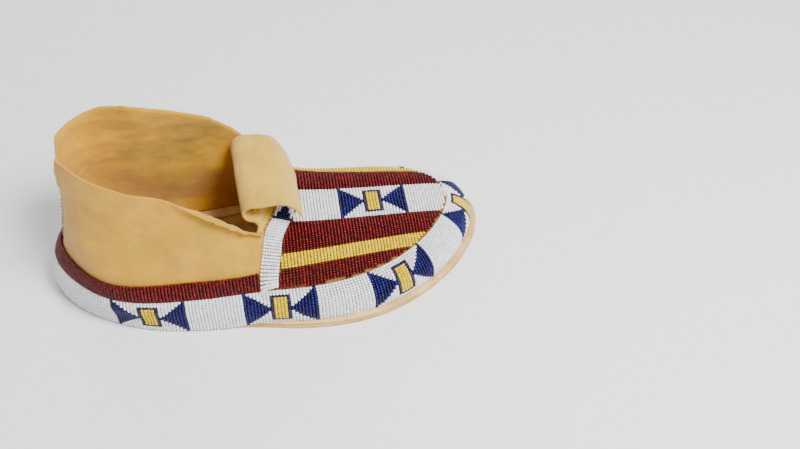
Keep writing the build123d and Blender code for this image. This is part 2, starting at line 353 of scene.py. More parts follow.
# ---------------------------------------------------------------- materials
def new_material(name):
    material = bpy.data.materials.new(name)
    material.use_nodes = True
    nodes = material.node_tree.nodes
    shader = nodes["Principled BSDF"]
    return material, material.node_tree, shader


def node(tree, kind, **values):
    """A shader node with its sockets or settings set by name."""
    made = tree.nodes.new(kind)
    for key, value in values.items():
        if key in made.inputs:
            made.inputs[key].default_value = value
        else:
            setattr(made, key, value)
    return made


def ramp(tree, source, stops):
    """A colour ramp fed by source. stops are (place, colour)."""
    made = tree.nodes.new("ShaderNodeValToRGB")
    elements = made.color_ramp.elements
    while len(elements) < len(stops):
        elements.new(0.5)
    for element, (place, colour) in zip(elements, stops):
        element.position = place
        element.color = (*colour, 1)
    tree.links.new(source, made.inputs["Fac"])
    return made.outputs["Color"]


def mix(tree, factor, a, b, blend="MIX"):
    """Two colours mixed. factor, a and b are sockets or values."""
    made = tree.nodes.new("ShaderNodeMix")
    made.data_type = "RGBA"
    made.blend_type = blend
    # inputs 6 and 7 and output 2 are the ones for colours
    pairs = ((made.inputs[0], factor), (made.inputs[6], a), (made.inputs[7], b))
    for socket, value in pairs:
        if hasattr(value, "links"):
            tree.links.new(value, socket)
        elif isinstance(value, tuple):
            socket.default_value = (*value, 1)
        else:
            socket.default_value = value
    return made.outputs[2]


def bumps(tree, shader, layers):
    """Chained bump nodes. layers are (height socket, strength, distance)."""
    previous = None
    for height, strength, distance in layers:
        made = node(tree, "ShaderNodeBump", Strength=strength, Distance=distance)
        tree.links.new(height, made.inputs["Height"])
        if previous is not None:
            tree.links.new(previous, made.inputs["Normal"])
        previous = made.outputs["Normal"]
    tree.links.new(previous, shader.inputs["Normal"])


def hide_material(name, light, mid, dark):
    """Smoked buckskin: patchy tan with a fine suede nap and faint creases."""
    material, tree, shader = new_material(name)
    where = node(tree, "ShaderNodeTexCoord").outputs["Object"]
    patches = node(tree, "ShaderNodeTexNoise", Scale=16.0, Detail=5.0, Roughness=0.62)
    mottles = node(tree, "ShaderNodeTexNoise", Scale=95.0, Detail=6.0, Roughness=0.7)
    nap = node(tree, "ShaderNodeTexNoise", Scale=1300.0, Detail=3.0, Roughness=0.65)
    pores = node(tree, "ShaderNodeTexVoronoi", Scale=620.0)
    creases = node(tree, "ShaderNodeTexNoise", Scale=60.0, Detail=6.0, Roughness=0.72)
    creases.inputs["Distortion"].default_value = 0.8
    for texture in (patches, mottles, nap, pores, creases):
        tree.links.new(where, texture.inputs["Vector"])
    broad = ramp(tree, patches.outputs["Fac"], [(0.32, dark), (0.52, mid), (0.7, light)])
    fine = ramp(tree, mottles.outputs["Fac"], [(0.3, (0.80, 0.76, 0.66)), (0.62, (1.0, 1.0, 1.0))])
    colour = mix(tree, 0.75, broad, fine, "MULTIPLY")
    fuzz = ramp(tree, nap.outputs["Fac"], [(0.3, (0.90, 0.88, 0.82)), (0.7, (1.0, 1.0, 1.0))])
    colour = mix(tree, 0.8, colour, fuzz, "MULTIPLY")
    tree.links.new(colour, shader.inputs["Base Color"])
    shader.inputs["Roughness"].default_value = 0.82
    shader.inputs["Specular IOR Level"].default_value = 0.28
    shader.inputs["Sheen Weight"].default_value = 0.25
    shader.inputs["Sheen Roughness"].default_value = 0.5
    bumps(tree, shader, [
        (creases.outputs["Fac"], 0.45, 1.6 * MM),
        (mottles.outputs["Fac"], 0.30, 0.5 * MM),
        (pores.outputs["Distance"], 0.20, 0.15 * MM),
        (nap.outputs["Fac"], 0.35, 0.12 * MM),
    ])  # fmt: skip
    return material


def bead_material(name, dark, mid, light, coat=0.05):
    """Glass seed beads, each with its own tint, a little cloudy where thread shows through."""
    material, tree, shader = new_material(name)
    tint = node(tree, "ShaderNodeAttribute", attribute_name="tint").outputs["Fac"]
    where = node(tree, "ShaderNodeTexCoord").outputs["Object"]
    cloud = node(tree, "ShaderNodeTexNoise", Scale=900.0, Detail=2.0)
    tree.links.new(where, cloud.inputs["Vector"])
    each = ramp(tree, tint, [(0.0, dark), (0.55, mid), (1.0, light)])
    shade = ramp(tree, cloud.outputs["Fac"], [(0.35, (0.82, 0.82, 0.84)), (0.65, (1.0, 1.0, 1.0))])
    tree.links.new(mix(tree, 0.7, each, shade, "MULTIPLY"), shader.inputs["Base Color"])
    shader.inputs["Roughness"].default_value = 0.28
    shader.inputs["Specular IOR Level"].default_value = 0.25
    shader.inputs["Coat Weight"].default_value = coat
    shader.inputs["Coat Roughness"].default_value = 0.08
    return material


def thread_material(name, colour):
    """Waxed sinew with a twisted ply."""
    material, tree, shader = new_material(name)
    where = node(tree, "ShaderNodeTexCoord").outputs["Object"]
    fibres = node(tree, "ShaderNodeTexNoise", Scale=1800.0, Detail=4.0)
    tree.links.new(where, fibres.inputs["Vector"])
    darker = tuple(c * 0.6 for c in colour)
    shade = ramp(tree, fibres.outputs["Fac"], [(0.3, darker), (0.7, colour)])
    tree.links.new(shade, shader.inputs["Base Color"])
    shader.inputs["Roughness"].default_value = 0.6
    bumps(tree, shader, [(fibres.outputs["Fac"], 0.5, 0.1 * MM)])
    return material


def edge_material(name, light, dark):
    """Cut hide seen at its edge: layered fibres along the edge and worn, darker patches."""
    material, tree, shader = new_material(name)
    where = node(tree, "ShaderNodeTexCoord").outputs["Object"]
    squash = node(tree, "ShaderNodeMapping")
    squash.inputs["Scale"].default_value = (40.0, 40.0, 900.0)
    tree.links.new(where, squash.inputs["Vector"])
    layers = node(tree, "ShaderNodeTexNoise", Scale=1.0, Detail=5.0, Roughness=0.6)
    tree.links.new(squash.outputs["Vector"], layers.inputs["Vector"])
    wear = node(tree, "ShaderNodeTexNoise", Scale=55.0, Detail=6.0, Roughness=0.7)
    grain = node(tree, "ShaderNodeTexNoise", Scale=700.0, Detail=4.0)
    tree.links.new(where, wear.inputs["Vector"])
    tree.links.new(where, grain.inputs["Vector"])
    base = ramp(tree, layers.outputs["Fac"], [(0.3, dark), (0.62, light)])
    worn = ramp(tree, wear.outputs["Fac"], [(0.3, (0.62, 0.52, 0.40)), (0.6, (1.0, 1.0, 1.0))])
    tree.links.new(mix(tree, 0.8, base, worn, "MULTIPLY"), shader.inputs["Base Color"])
    shader.inputs["Roughness"].default_value = 0.7
    shader.inputs["Specular IOR Level"].default_value = 0.3
    bumps(tree, shader, [
        (layers.outputs["Fac"], 0.5, 0.5 * MM),
        (wear.outputs["Fac"], 0.4, 0.8 * MM),
        (grain.outputs["Fac"], 0.4, 0.2 * MM),
    ])  # fmt: skip
    return material


HIDE = hide_material("hide", (0.76, 0.41, 0.018), (0.62, 0.31, 0.01), (0.42, 0.25, 0.012))
# hide under the beads, painted dark: painted shade that shows in the gaps between bead rows
UNDER_BEADS_PAINTED_SHADE = hide_material(
    "hide_under_beads", (0.30, 0.12, 0.02), (0.22, 0.08, 0.012), (0.14, 0.05, 0.01)
)
TONGUE_HIDE = hide_material(
    "tongue_hide", (0.82, 0.51, 0.06), (0.72, 0.44, 0.045), (0.54, 0.33, 0.035)
)
RAWHIDE = edge_material("rawhide", (0.74, 0.48, 0.18), (0.42, 0.24, 0.08))
WELT_HIDE = edge_material("welt_hide", (0.86, 0.60, 0.26), (0.58, 0.36, 0.13))
SINEW = thread_material("sinew", (0.50, 0.32, 0.14))
WHITE = bead_material("white_beads", (0.72, 0.73, 0.75), (0.84, 0.84, 0.84), (0.92, 0.91, 0.89))
BLUE = bead_material(
    "blue_beads", (0.001, 0.0005, 0.035), (0.002, 0.001, 0.07), (0.004, 0.003, 0.12)
)
DARK = bead_material("dark_beads", (0.006, 0.004, 0.03), (0.012, 0.008, 0.05), (0.03, 0.02, 0.09))
YELLOW = bead_material(
    "yellow_beads", (0.62, 0.42, 0.0), (0.74, 0.52, 0.0), (0.84, 0.61, 0.0), coat=0.0
)
MAROON = bead_material("maroon_beads", (0.045, 0.0, 0.0005), (0.09, 0.0, 0.001), (0.16, 0.0, 0.002))

# ---------------------------------------------------------------- hide upper
# Collar's top edge: x as a share of the way from heel to throat, and height as a share of the
# collar's. The medial side stays high nearer to the throat.
LATERAL_EDGE = np.array([
    (-0.1, 0.95), (0.10, 0.98), (0.20, 0.985), (0.30, 0.94), (0.47, 0.86), (0.61, 0.83),
    (0.75, 0.79), (0.83, 0.72), (0.90, 0.62), (0.94, 0.525), (0.96, 0.475), (0.985, 0.455),
    (1.1, 0.455),
])  # fmt: skip
MEDIAL_EDGE = np.array([
    (-0.1, 0.845), (0.0, 0.85), (0.10, 0.87), (0.195, 0.905), (0.325, 0.955), (0.446, 0.963),
    (0.515, 0.942), (0.645, 0.885), (0.749, 0.83), (0.81, 0.797), (0.90, 0.716), (0.97, 0.63),
    (1.0, 0.56), (1.1, 0.50),
])  # fmt: skip
toe_u = float(outline_shares[np.argmax(outline_table[:, 0])])
THROAT_DEPTH = 9 * MM
TONGUE_Y = (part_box("tongue_flap")[0].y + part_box("tongue_flap")[1].y) / 2
TONGUE_HALF = (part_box("tongue_flap")[1].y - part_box("tongue_flap")[0].y) / 2
# Distance aside from the tongue's middle, and share of the throat's depth forward there
THROAT = np.array([(0, 1.0), (17, 0.55), (31, -0.15), (43, -0.45), (57, -0.80), (80, -0.80)])


def throat_line(y):
    """x of the throat's edge at y."""
    aside = np.abs(np.asarray(y, float) - TONGUE_Y) / MM
    return throat_x + THROAT_DEPTH * hermite(np.minimum(aside, 79), THROAT[:, 0], THROAT[:, 1])


def column_top(u):
    """The h at which the hide ends, for each u: the collar's edge, or the throat's."""
    edge = LATERAL_EDGE if u < toe_u else MEDIAL_EDGE
    hs = np.linspace(0.05, 1.07, 260)
    p = surface(u, hs)
    share = (p[:, 0] - heel_x) / (throat_x - heel_x)
    limit = np.interp(share, edge[:, 0], edge[:, 1]) * collar_z
    behind = p[:, 0] < throat_line(p[:, 1])
    ended = np.where(behind, p[:, 2] > limit, p[:, 2] > throat_edge_z)
    return hs[np.argmax(ended)] if ended.any() else 1.05


def notch_u(h):
    """How far from the heel seam the hide's rear edge is, inside the notch between the flaps."""
    z = base_z + h * (collar_z - base_z)
    open_ = np.clip((z - NOTCH_Z) / (collar_z - NOTCH_Z), 0, 1.2)
    gap = NOTCH_HALF_WIDTH * open_**1.15
    scale = sole_length * 2.33 * 0.42  # length of the level line there, near enough
    return gap / scale


COLUMNS = 300
ROWS = 130
LIP_LENGTH = 6.5 * MM


def smooth_noise(points, scale, seed, octaves=2):
    """Smooth noise from -1 to 1 at each point."""
    shift = Vector((seed * 13.1, seed * 7.7, seed * 3.3))
    return np.array([
        noise.fractal(Vector(p) * scale + shift, 0.9, 2.0, octaves) for p in points.reshape(-1, 3)
    ]).reshape(points.shape[:-1])  # fmt: skip


def hide_half(lateral):
    """One half of the upper, from the heel seam to the middle of the toe, with both faces."""
    ends = (0.0, toe_u) if lateral else (1.0, toe_u)
    v = np.linspace(0, 1, COLUMNS) ** 1.15
    us = ends[0] + (ends[1] - ends[0]) * v
    tops = np.array([column_top(u) for u in us])
    kernel = np.hanning(9)
    padded = np.pad(tops, 4, mode="edge")
    tops = np.convolve(padded, kernel / kernel.sum(), "valid")
    t = np.linspace(0, 1, ROWS)
    h = tops[:, None] * t[None] ** 0.9
    sign = 1 if lateral else -1
    near_heel = np.clip(1 - v / 0.35, 0, 1)[:, None] ** 1.6
    u = us[:, None] + sign * notch_u(h) * near_heel
    p, _, up, normal = frames(u, h)

    # broad folds and dents, none low down under the beads
    z_share = (p[..., 2] - base_z) / (collar_z - base_z)
    loose = smoothstep(z_share, 0.28, 0.55)
    behind_throat = 1 - smoothstep(p[..., 0], throat_x - 25 * MM, throat_x - 5 * MM)
    folds = smooth_noise(p * (1.0, 1.0, 0.55), 26.0, 1 if lateral else 2)
    small = smooth_noise(p * (0.8, 1.0, 1.6), 75.0, 3 if lateral else 4)
    depth = (folds * 2.2 + small * 0.6) * MM * loose * (0.35 + 0.65 * behind_throat)
    p = p + normal * depth[..., None]
    pinch = np.exp(-((v / 0.012) ** 2))[:, None] * smoothstep(z_share, 0.1, 0.3)
    about_heel = 1 - smoothstep(p[..., 0], heel_x + 20 * MM, heel_x + 90 * MM)
    flare = smoothstep(z_share, 0.62, 1.0) * about_heel
    flare_out = 4.0 if lateral else 7.0
    p = p + normal * ((flare_out * flare - 1.3 * pinch) * MM)[..., None]

    # the collar's front part turns outward in a lip
    steps = np.linalg.norm(np.diff(p, axis=1), axis=-1)
    run = np.concatenate([np.zeros((COLUMNS, 1)), np.cumsum(steps, 1)], 1)
    left = run[:, -1:] - run
    share = (p[:, -1, 0] - heel_x) / (throat_x - heel_x)
    turn = smoothstep(share, 0.60, 0.82) * (1 - smoothstep(share, 0.955, 0.985))
    turn = turn * (math.radians(165) if lateral else 0.0)
    turn = turn[:, None]
    inside = left < LIP_LENGTH
    first = np.argmax(inside, axis=1)
    start_point = p[np.arange(COLUMNS), first][:, None]
    start_up = up[np.arange(COLUMNS), first][:, None]
    start_out = normal[np.arange(COLUMNS), first][:, None]
    start_run = run[np.arange(COLUMNS), first][:, None]
    radius = LIP_LENGTH / np.maximum(turn, 1e-3)
    q = (run - start_run) / radius
    curl = start_point + radius[..., None] * (
        np.sin(q)[..., None] * start_up + (1 - np.cos(q))[..., None] * start_out
    )
    curled_normal = np.cos(q)[..., None] * start_out - np.sin(q)[..., None] * start_up
    use = (inside & (turn > 0.02))[..., None]
    p = np.where(use, curl, p)
    normal = np.where(use, curled_normal, normal)

    # thinner at the cut edges
    edge = np.minimum(left, LEATHER) / LEATHER
    thick = LEATHER * (0.55 + 0.45 * edge)
    inner = p - normal * thick[..., None]
    verts = np.vstack([p.reshape(-1, 3), inner.reshape(-1, 3)])
    return verts, sheet_faces(COLUMNS, ROWS, not lateral)


def kept(verts, faces, keep):
    """Only the faces that keep marks, and their vertices."""
    faces = [face for face, k in zip(faces, keep) if k]
    used = np.unique(np.concatenate([np.array(face) for face in faces]))
    new = np.full(len(verts), -1)
    new[used] = np.arange(len(used))
    return verts[used], [tuple(int(new[v]) for v in face) for face in faces]


SEAM_UNDER_BAND = 6 * MM  # the vamp starts this far ahead of the throat line


def split_at_throat(verts, faces):
    """The part behind the band's middle and the part ahead of it."""
    middle = np.array([verts[list(face)].mean(0) for face in faces])
    rear = middle[:, 0] < throat_line(middle[:, 1]) + SEAM_UNDER_BAND
    return kept(verts, faces, rear), kept(verts, faces, ~rear)


(lateral_rear, lateral_front), (medial_rear, medial_front) = (
    split_at_throat(*hide_half(lateral)) for lateral in (True, False)
)
lateral_hide = mesh_object("upper_lateral", *lateral_rear, HIDE)
medial_hide = mesh_object("upper_medial", *medial_rear, HIDE)
vamp_verts = np.vstack([lateral_front[0], medial_front[0]])
shifted = [tuple(v + len(lateral_front[0]) for v in face) for face in medial_front[1]]
# the vamp's hide lies under the beads and takes the painted shade material
vamp_hide = mesh_object("vamp_hide", vamp_verts, lateral_front[1] + shifted, UNDER_BEADS_PAINTED_SHADE)

# ---------------------------------------------------------------- sole and welt


def slab_piece(name, profile, material, hole=None):
    """A slab about the sole's outline. profile is (inset, height) pairs from its underside up;
    it closes to the middle, or to a ring at hole inset."""
    steps = 720
    u = np.arange(steps) / steps
    along, px, py, ox, oy = (
        np.interp(u, outline_shares, column)
        for column in (outline_table[:, 0], *sole_plan.T, *plan_outward.T)
    )
    drawn_in = SOLE_INSET * (1 - smoothstep(along, 0.38, 0.55))
    flat = np.stack([px, py, 0 * px], 1)
    wobble = smooth_noise(flat, 35.0, 21, 3) * 0.35 * MM
    rings = [(hole, profile[0][1])] if hole else []
    rings += profile + ([(hole, profile[-1][1])] if hole else [])
    verts = []
    for inset, z in rings:
        moved = inset + drawn_in + wobble * (inset < 2 * MM)
        uneven = smooth_noise(flat + (0, 0, z * 40), 22.0, 23) * 0.25 * MM * (z > 0.8 * MM)
        verts.append(np.stack([px - ox * moved, py - oy * moved, z + uneven], 1))
    count = len(rings)
    faces = []
    for i in range(count if hole else count - 1):
        for k in range(steps):
            n, j = (k + 1) % steps, (i + 1) % count
            faces.append((i * steps + k, i * steps + n, j * steps + n, j * steps + k))
    if not hole:
        centre = np.array([[0.0, 0.0, profile[0][1]], [0.0, 0.0, profile[-1][1]]])
        verts.append(centre)
        bottom, top = count * steps, count * steps + 1
        for k in range(steps):
            n = (k + 1) % steps
            faces.append((bottom, n, k))
            faces.append((top, (count - 1) * steps + k, (count - 1) * steps + n))
    return mesh_object(name, np.vstack(verts), faces, material)


sole_top = sole_high.z
welt_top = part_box("welt")[1].z
sole_piece = slab_piece("rawhide_sole", [
    (1.2 * MM, 0.0), (0.5 * MM, 0.12 * MM), (0.12 * MM, 0.6 * MM), (0.0, 1.3 * MM),
    (0.05 * MM, 2.0 * MM), (0.4 * MM, 2.6 * MM), (1.4 * MM, sole_top - 0.1 * MM),
], RAWHIDE)  # fmt: skip
welt_piece = slab_piece("hide_welt", [
    (0.8 * MM, sole_top - 0.05 * MM), (0.45 * MM, sole_top + 0.3 * MM),
    (0.4 * MM, welt_top - 0.5 * MM), (0.8 * MM, welt_top - 0.1 * MM), (1.8 * MM, welt_top),
], WELT_HIDE, hole=9.5 * MM)  # fmt: skip

# ---------------------------------------------------------------- bead lanes
beads = Beads()
GRID_U, GRID_H = 721, 150
grid = surface(np.linspace(0, 1, GRID_U)[:, None], np.linspace(0, 0.60, GRID_H)[None])
grid_faces = [
    (i * GRID_H + j, (i + 1) * GRID_H + j, (i + 1) * GRID_H + j + 1, i * GRID_H + j + 1)
    for i in range(GRID_U - 1)
    for j in range(GRID_H - 1)
]
tree = BVHTree.FromPolygons([tuple(v) for v in grid.reshape(-1, 3)], grid_faces)
DOWN = Vector((0, 0, -1))
THROAT_SEARCH = 40 * MM  # how far ahead the hide may start, near the throat


def drop(x, y, search=0.0):
    """The surface point below (x, y) and its normal, or those of the first point ahead of it,
    within search."""
    point, normal, _, _ = tree.ray_cast(Vector((x, y, 0.2)), DOWN)
    ahead = 0.0
    while point is None and ahead < search:
        ahead += 0.25 * MM
        point, normal, _, _ = tree.ray_cast(Vector((x + ahead, y, 0.2)), DOWN)
    if point is None:
        return None, None
    if normal.z < 0:
        normal = -normal
    return np.array(point), np.array(normal)


# Border lane: rows square to the sole's edge, evenly spaced along the lane's middle
LANE_START = 0.4 * MM  # above the welt at the forefoot
HEEL_LANE_START = -3.3 * MM  # about the heel the lane covers the sole's edge


def lane_start(u):
    """How far up the hide from the welt the border lane starts."""
    along = np.interp(np.asarray(u) % 1.0, outline_shares, outline_table[:, 0])
    return LANE_START + (HEEL_LANE_START - LANE_START) * (1 - smoothstep(along, 0.34, 0.52))


def row_diameters(p):
    """Diameters that make the beads at p, one in each row, fill the space between rows."""
    gap = np.linalg.norm(np.roll(p, -1, 0) - p, axis=1)
    return np.clip((gap + np.roll(gap, 1)) / 2 * BEAD_FILL, *BEAD_DIAMETERS)


half_lane = BORDER_BEADS * BEAD_LENGTH / 2
u_try = np.linspace(0, 1, 1441)
mid_u, mid_h = climb(u_try, np.full(1441, 0.0), lane_start(u_try) + half_lane, steps=8)
mid_p = surface(mid_u, mid_h)
mid_run = np.concatenate([[0], np.cumsum(np.linalg.norm(np.diff(mid_p, axis=0), axis=1))])
period_rows = int(round(mid_run[-1] / ROW_PITCH / MOTIF_COUNT))
row_count = period_rows * MOTIF_COUNT
toe_run = np.interp(TOE_SHARE, u_try, mid_run)
row_runs = (toe_run + (np.arange(row_count) + 0.5) * mid_run[-1] / row_count) % mid_run[-1]
row_u0 = np.interp(row_runs, mid_run, u_try)
MOTIF_ROWS = 2 * TRIANGLE_ROWS + BOX_ROWS


def motif_colour(row, bead, across):
    """Which colour a bead of the bow-tie motif has. row counts from the motif's middle."""
    half_box = BOX_ROWS / 2
    distance = abs(row + 0.5)
    middle = abs(bead + 0.5 - across / 2)
    if distance < half_box:
        if middle > across / 2 - 2:
            return "white"
        frame_row = distance > half_box - 1
        frame_bead = middle > across / 2 - 3
        return "dark" if frame_row or frame_bead else "yellow"
    step = distance - half_box
    if step < TRIANGLE_ROWS and middle < step + 0.6:
        return "blue"
    return "white"


u_row, h_row = climb(row_u0, np.full(row_count, 0.0), lane_start(row_u0) + BEAD_LENGTH / 2, steps=3)
heel_row = int(np.argmin(np.minimum(row_u0 % 1.0, 1 - row_u0 % 1.0)))
for bead in range(BORDER_BEADS):
    p, _, up, normal = frames(u_row, h_row)
    wide = row_diameters(p)
    hump = LANE_HUMP * math.sin(math.pi * (bead + 0.5) / BORDER_BEADS)
    lift = wide / 2 + hump + rng.normal(0, BEAD_JITTER, row_count)
    centres = p + normal * lift[:, None]
    for i in range(row_count):
        k = (i + period_rows // 2) % period_rows - period_rows // 2
        from_heel = abs((i - heel_row + row_count // 2) % row_count - row_count // 2)
        plain = abs(k + 0.5) > MOTIF_ROWS / 2 or from_heel < period_rows // 2
        colour = "white" if plain else motif_colour(k, bead, BORDER_BEADS)
        side = "lateral" if (row_u0[i] % 1.0) < toe_u else "medial"
        name = f"border_white_{side}" if colour == "white" else f"border_{colour}"
        beads.add(name, centres[i : i + 1], up[i], normal[i], wide[i])
    u_row, h_row = climb(u_row, h_row, BEAD_LENGTH, steps=2)
lane_top_u, lane_top_h = u_row, h_row  # half a bead above the last one

# Maroon lane on the quarters
top_points = surface(lane_top_u, lane_top_h)
u_row, h_row = climb(lane_top_u, lane_top_h, 0.15 * MM, steps=1)
for bead in range(MAROON_BEADS):
    p, _, up, normal = frames(u_row, h_row)
    wide = row_diameters(p)
    hump = 0.8 * LANE_HUMP * math.sin(math.pi * (bead + 0.5) / MAROON_BEADS)
    centres = p + normal * (wide / 2 + hump + rng.normal(0, BEAD_JITTER, row_count))[:, None]
    for i in range(row_count):
        if p[i, 0] < float(throat_line(p[i, 1])) + 2.3 * MM:
            side = "lateral" if (row_u0[i] % 1.0) < toe_u else "medial"
            beads.add(f"quarter_maroon_{side}", centres[i : i + 1], up[i], normal[i], wide[i])
    u_row, h_row = climb(u_row, h_row, BEAD_LENGTH * 0.97, steps=2)

# Band across the throat: rows run fore and aft
BAND_MARGIN = 2.5 * MM
band_width = BAND_BEADS * BEAD_LENGTH
fine_y = np.arange(-60, 62, 0.1) * MM
lane_line = top_points[np.argsort(row_u0 % 1.0)]


def inside_lane(point, margin):
    """Whether a point is inside the border lane's upper edge in plan, and clear of that edge."""
    x, y = point[0], point[1]
    poly = lane_line
    nxt = np.roll(poly, -1, 0)
    crosses = (poly[:, 1] > y) != (nxt[:, 1] > y)
    dy = np.where(nxt[:, 1] == poly[:, 1], 1e-12, nxt[:, 1] - poly[:, 1])
    at = poly[:, 0] + (y - poly[:, 1]) / dy * (nxt[:, 0] - poly[:, 0])
    within = bool(np.count_nonzero(crosses & (x < at)) % 2)
    return within and float(np.min(np.linalg.norm(poly - point, axis=1))) > margin


def band_rear(y):
    """x of the band's rear edge at y."""
    return throat_line(y) + BAND_MARGIN


band_path, band_normals = [], []
for y in fine_y:
    x = float(band_rear(y)) + band_width / 2
    point, normal = drop(x, y)
    if point is not None and inside_lane(point, 0.3 * MM):
        band_path.append(point)
        band_normals.append(normal)
band_path, band_normals = np.array(band_path), np.array(band_normals)
band_run = np.concatenate([[0], np.cumsum(np.linalg.norm(np.diff(band_path, axis=0), axis=1))])
band_rows = round(band_run[-1] / ROW_PITCH)
for k in range(band_rows):
    s = (k + 0.5) * band_run[-1] / band_rows
    centre = np.array([np.interp(s, band_run, band_path[:, c]) for c in range(3)])
    from_middle = k + 0.5 - band_rows / 2
    for bead in range(BAND_BEADS):
        x = centre[0] + (bead + 0.5 - BAND_BEADS / 2) * BEAD_LENGTH * 0.985
        point, normal = drop(x, centre[1], 4 * MM)
        ahead, _ = drop(x + 0.4 * MM, centre[1], 4 * MM)
        if point is None or ahead is None:
            continue
        hump = 0.7 * LANE_HUMP * math.sin(math.pi * (bead + 0.5) / BAND_BEADS)
        # a stepped blue motif, mostly under the tongue
        step = abs(from_middle) - 2.5
        blue = 0 < step < 15 and (abs(bead - 3) < (step % 8) / 2)
        name = "band_blue" if blue else "band_white"
        lift = BEAD_DIAMETER / 2 + hump + rng.normal(0, BEAD_JITTER)
        beads.add(name, point + normal * lift, ahead - point, normal)

# Vamp lanes: rows run straight across the shoe, and the lanes' edges slant across them
CENTRE_SLOPE = 0.2
TOE_LINE_Y = 20 * MM
CENTRE_MOTIF_FROM_TOE = 67 * MM
LANE_GAP = 0.2 * MM
LANE_CLEAR = 0.6 * MM
toe_x = heel_x + sole_length
row_starts = np.arange(throat_x - 12 * MM, toe_x, ROW_PITCH)
centre_motif_row = int((toe_x - CENTRE_MOTIF_FROM_TOE - row_starts[0]) / ROW_PITCH)
reach = np.arange(0, 75, 0.25) * MM


def cross_run(x, y, side):
    """Points on the surface along a row, out from the centre line, with their run and normals."""
    points, normals = [], []
    for r in reach:
        point, normal = drop(x, y + side * r)
        if point is None or point[2] < base_z + 8 * MM:
            break
        points.append(point)
        normals.append(normal)
    if len(points) < 6:
        return None
    points, normals = np.array(points), np.array(normals)
    run = np.concatenate([[0], np.cumsum(np.linalg.norm(np.diff(points, axis=0), axis=1))])
    return points, normals, run


def lane_row(line, start, width, pick, hump_scale=1.0, count=None):
    """One row of beads filling width from start along a row line; pick names a bead's piece."""
    points, normals, run = line
    count = max(1, round(width / BEAD_LENGTH)) if count is None else count
    pitch = width / count
    for bead in range(count):
        s = start + (bead + 0.5) * pitch
        if s > run[-1]:
            return
        point = np.array([np.interp(s, run, points[:, c]) for c in range(3)])
        ahead = np.array([np.interp(s + 0.3 * MM, run, points[:, c]) for c in range(3)])
        normal = np.array([np.interp(s, run, normals[:, c]) for c in range(3)])
        behind_band = point[0] < float(band_rear(point[1])) + band_width + 0.4 * MM
        if behind_band or not inside_lane(point, LANE_CLEAR):
            continue
        hump = hump_scale * LANE_HUMP * math.sin(math.pi * (bead + 0.5) / count)
        lift = BEAD_DIAMETER / 2 + hump + rng.normal(0, BEAD_JITTER)
        length = pitch * BEAD_FILL
        beads.add(pick(bead), point + normal * lift, ahead - point, normal, lengths=length)


def centre_pick(row, side):
    """Names the centre lane's beads, out from its middle."""

    def pick(bead):
        index = CENTRE_BEADS // 2 + bead if side > 0 else CENTRE_BEADS // 2 - 1 - bead
        if abs(row + 0.5) > MOTIF_ROWS / 2:
            return "centre_white"
        return f"centre_{motif_colour(row, index, CENTRE_BEADS)}"

    return pick


for row, x in enumerate(row_starts):
    y = TOE_LINE_Y + CENTRE_SLOPE * (x - toe_x)
    share = np.clip((x - throat_x) / (toe_x - throat_x - 30 * MM), 0, 1)
    inner = INNER_WIDTHS[0] + (INNER_WIDTHS[1] - INNER_WIDTHS[0]) * share
    for side, word in ((-1, "lateral"), (1, "medial")):
        line = cross_run(x, y, side)
        if line is None:
            continue
        half = CENTRE_BEADS * BEAD_LENGTH / 2
        lane_row(line, 0.0, half, centre_pick(row - centre_motif_row, side), 0.5, CENTRE_BEADS // 2)
        start = half + LANE_GAP
        lane_row(line, start, inner, lambda _: f"maroon_inner_{word}")
        start += inner + LANE_GAP
        lane_row(line, start, YELLOW_WIDTH, lambda _: f"yellow_{word}", 0.7)
        start += YELLOW_WIDTH + LANE_GAP
        lane_row(line, start, 24 * BEAD_LENGTH, lambda _: f"maroon_outer_{word}", 0.5)

# ---------------------------------------------------------------- bead pieces
BEAD_PIECES = [
    ("border_white_lateral", WHITE, "white_beads", "border_lane_ground"),
    ("border_white_medial", WHITE, "white_beads", "border_lane_ground"),
    ("border_blue", BLUE, "blue_beads", "border_lane_motifs"),
    ("border_dark", DARK, "dark_beads", "border_lane_motifs"),
    ("border_yellow", YELLOW, "yellow_beads", "border_lane_motifs"),
    ("quarter_maroon_lateral", MAROON, "maroon_beads", "quarter_lane_lateral"),
    ("quarter_maroon_medial", MAROON, "maroon_beads", "quarter_lane_medial"),
    ("band_white", WHITE, "white_beads", "throat_band"),
    ("band_blue", BLUE, "blue_beads", "throat_band"),
    ("centre_white", WHITE, "white_beads", "vamp_lane_centre"),
    ("centre_blue", BLUE, "blue_beads", "vamp_lane_centre_motif"),
    ("centre_dark", DARK, "dark_beads", "vamp_lane_centre_motif"),
    ("centre_yellow", YELLOW, "yellow_beads", "vamp_lane_centre_motif"),
    ("maroon_inner_lateral", MAROON, "maroon_beads", "vamp_lane_inner_lateral"),
    ("maroon_inner_medial", MAROON, "maroon_beads", "vamp_lane_inner_medial"),
    ("yellow_lateral", YELLOW, "yellow_beads", "vamp_lane_yellow_lateral"),
    ("yellow_medial", YELLOW, "yellow_beads", "vamp_lane_yellow_medial"),
    ("maroon_outer_lateral", MAROON, "maroon_beads", "vamp_lane_outer_lateral"),
    ("maroon_outer_medial", MAROON, "maroon_beads", "vamp_lane_outer_medial"),
]
for name, material, slot, cad in BEAD_PIECES:
    piece = beads.build(name, material)
    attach(piece, "shoe")
    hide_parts(cad)

# ---------------------------------------------------------------- tongue
fold = joints["tongue_fold"]
ROLL_AHEAD = 4.5 * MM  # the hide's roll sits this far ahead of the fold's axis, and below it
ROLL_BELOW = 2.0 * MM
roll_x = fold["pos_m"][0] + ROLL_AHEAD
roll_z = fold["pos_m"][2] - ROLL_BELOW
ROLL_RADIUS = 7.2 * MM
TONGUE_COLUMNS = 70
TONGUE_ROWS = 120
tip_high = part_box("tongue_flap")[1]
tip_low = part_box("tongue_flap")[0]


